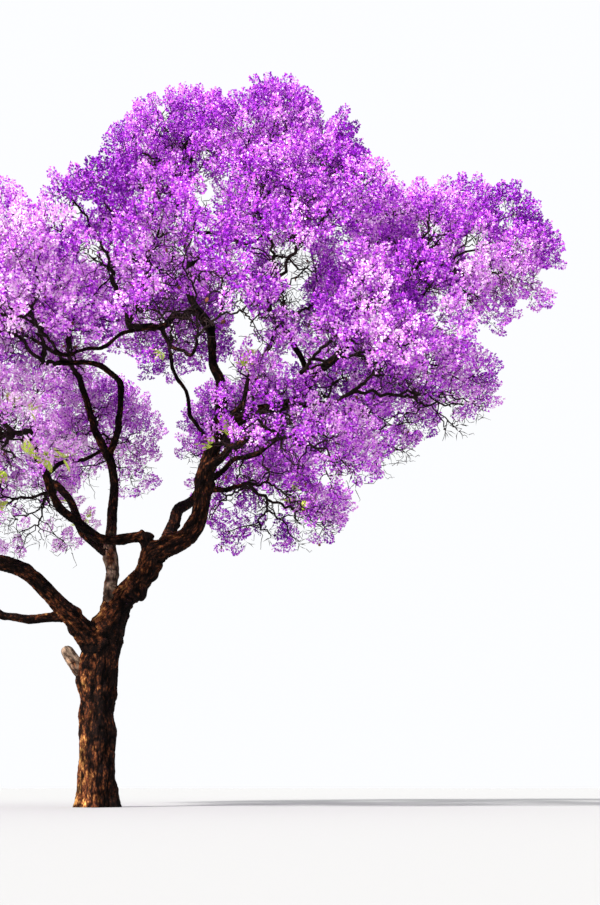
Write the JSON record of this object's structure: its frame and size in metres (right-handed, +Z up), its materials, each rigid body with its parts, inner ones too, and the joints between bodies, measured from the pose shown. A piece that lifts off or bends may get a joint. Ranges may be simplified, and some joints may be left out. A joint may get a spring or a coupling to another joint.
{
  "type": "jacaranda tree in blossom",
  "caption": "Mature street tree with a forked trunk, crooked spreading boughs and a wide, open crown of violet blossom, rising from a flat cut at the ground.",
  "frame": {"origin": "middle of the flat cut under the trunk, at ground level", "axes": "+Z up; +X to the right and +Y away from the viewer, seen as in the picture"},
  "size_m": [13.2349, 11.5875, 12.0545],
  "materials": {
    "bark": "deeply fissured dark brown bark, matte",
    "blossom": "soft matte violet flowers on thin dark twigs"
  },
  "bodies": {
    "root": {"back_left_limb": "bark", "back_limb": "bark", "blossom_crest_1": "blossom", "blossom_crest_2": "blossom", "blossom_crest_3": "blossom", "blossom_right_1": "blossom", "blossom_right_2": "blossom", "blossom_right_3": "blossom", "blossom_shoulder_1": "blossom", "blossom_shoulder_2": "blossom", "blossom_shoulder_3": "blossom", "blossom_shoulder_4": "blossom", "blossom_shoulder_5": "blossom", "blossom_shoulder_6": "blossom", "blossom_side_1": "blossom", "blossom_side_10": "blossom", "blossom_side_2": "blossom", "blossom_side_3": "blossom", "blossom_side_4": "blossom", "blossom_side_5": "blossom", "blossom_side_6": "blossom", "blossom_side_7": "blossom", "blossom_side_8": "blossom", "blossom_side_9": "blossom", "blossom_skirt_1": "blossom", "blossom_skirt_2": "blossom", "blossom_skirt_3": "blossom", "blossom_skirt_4": "blossom", "bough_to_crest_2": "bark", "bough_to_crest_3": "bark", "bough_to_right_1": "bark", "bough_to_right_2": "bark", "bough_to_shoulder_1": "bark", "bough_to_shoulder_2": "bark", "bough_to_shoulder_6": "bark", "bough_to_side_1": "bark", "bough_to_side_10": "bark", "bough_to_side_2": "bark", "bough_to_side_4": "bark", "bough_to_side_8": "bark", "bough_to_side_9": "bark", "bough_to_skirt_1": "bark", "bough_to_skirt_2": "bark", "bough_to_skirt_4": "bark", "crown_limb": "bark", "elbow_arm": "bark", "elbow_riser": "bark", "front_limb": "bark", "inner_stem": "bark", "left_bough": "bark", "left_crown_limb": "bark", "low_limb": "bark", "main_bough": "bark", "right_limb": "bark", "trunk": "bark"}
  },
  "joints": []
}
